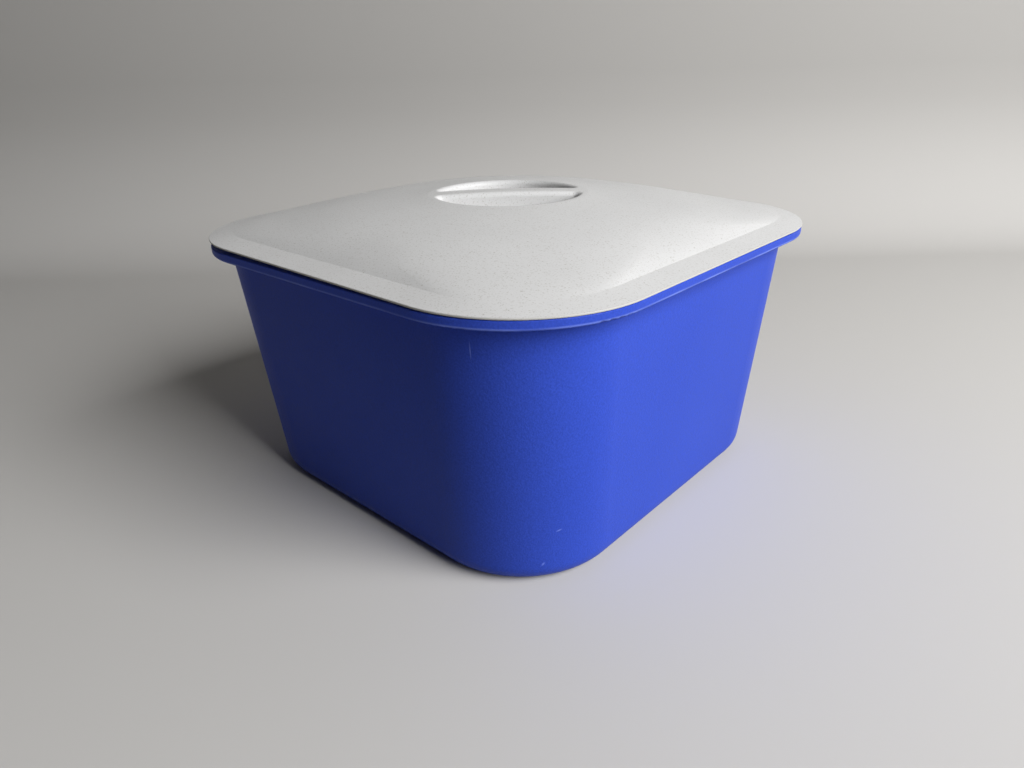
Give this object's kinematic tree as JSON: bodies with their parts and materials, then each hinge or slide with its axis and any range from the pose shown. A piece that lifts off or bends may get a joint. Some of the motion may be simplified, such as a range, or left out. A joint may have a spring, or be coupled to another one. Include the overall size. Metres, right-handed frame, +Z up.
{
  "type": "food storage container",
  "caption": "Square tapered food storage tub with a flange and a loose domed lid, whose finger recess is crossed by a lifting bar.",
  "frame": {"origin": "middle of the base, on the surface that it stands on", "axes": "+Z up; the sides face along X and Y; the lid's bar runs along the diagonal from (-X, -Y) to (+X, +Y)"},
  "size_m": [0.28, 0.28, 0.1637],
  "materials": {
    "blue_plastic": "matte, finely textured",
    "speckled_plastic": "matte, finely speckled"
  },
  "bodies": {
    "root": {"tub": "blue_plastic", "lid": "speckled_plastic"}
  },
  "joints": []
}
